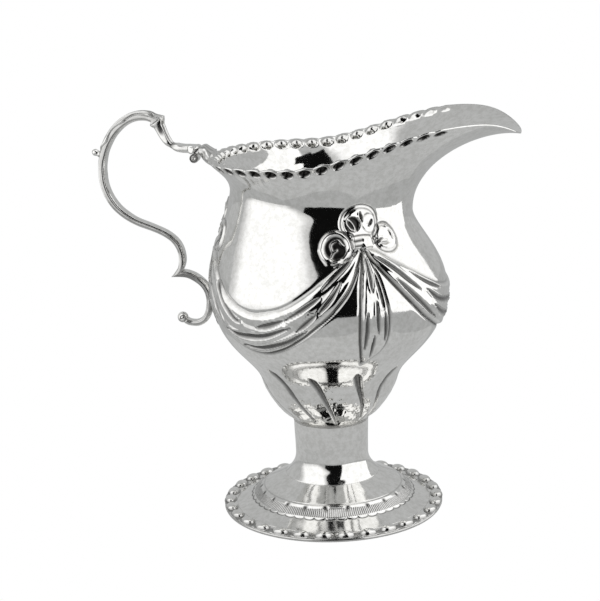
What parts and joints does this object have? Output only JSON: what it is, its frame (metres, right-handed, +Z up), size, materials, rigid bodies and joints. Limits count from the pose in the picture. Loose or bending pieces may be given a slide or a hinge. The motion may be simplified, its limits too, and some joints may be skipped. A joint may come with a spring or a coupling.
{
  "type": "cream jug",
  "caption": "Silver cream jug: a chased baluster body with a beaded rim and broad pouring lip, on a domed beaded pedestal foot, with a leaf-capped double-scroll handle.",
  "frame": {"origin": "centre of the foot ring, on the surface that the jug stands on", "axes": "+Z up along the stem, +X out through the pouring lip, -X towards the handle, Y across the jug"},
  "size_m": [0.1279, 0.072, 0.1245],
  "materials": {
    "raised_silver": "polished sterling silver, hand raised, chased, dark oxide left in the chased lines",
    "foot_silver": "polished sterling silver with bright-cut engraving and fine scratches",
    "cast_silver": "polished cast sterling silver, oxide in the veins of the leaf",
    "silver_solder": "hard silver solder, slightly duller than the sheet"
  },
  "bodies": {
    "root": {"body": "raised_silver", "stem": "foot_silver", "foot_dome": "foot_silver", "foot_border": "foot_silver", "foot_ring": "foot_silver", "stem_solder": "silver_solder", "handle_scroll": "cast_silver", "handle_leaf": "cast_silver", "thumb_bud": "cast_silver", "handle_bracket": "cast_silver", "bracket_collar": "cast_silver", "bracket_volute": "cast_silver", "rim_pad": "cast_silver", "lower_scroll": "cast_silver", "scroll_ball": "cast_silver", "lower_solder": "silver_solder"}
  },
  "joints": []
}
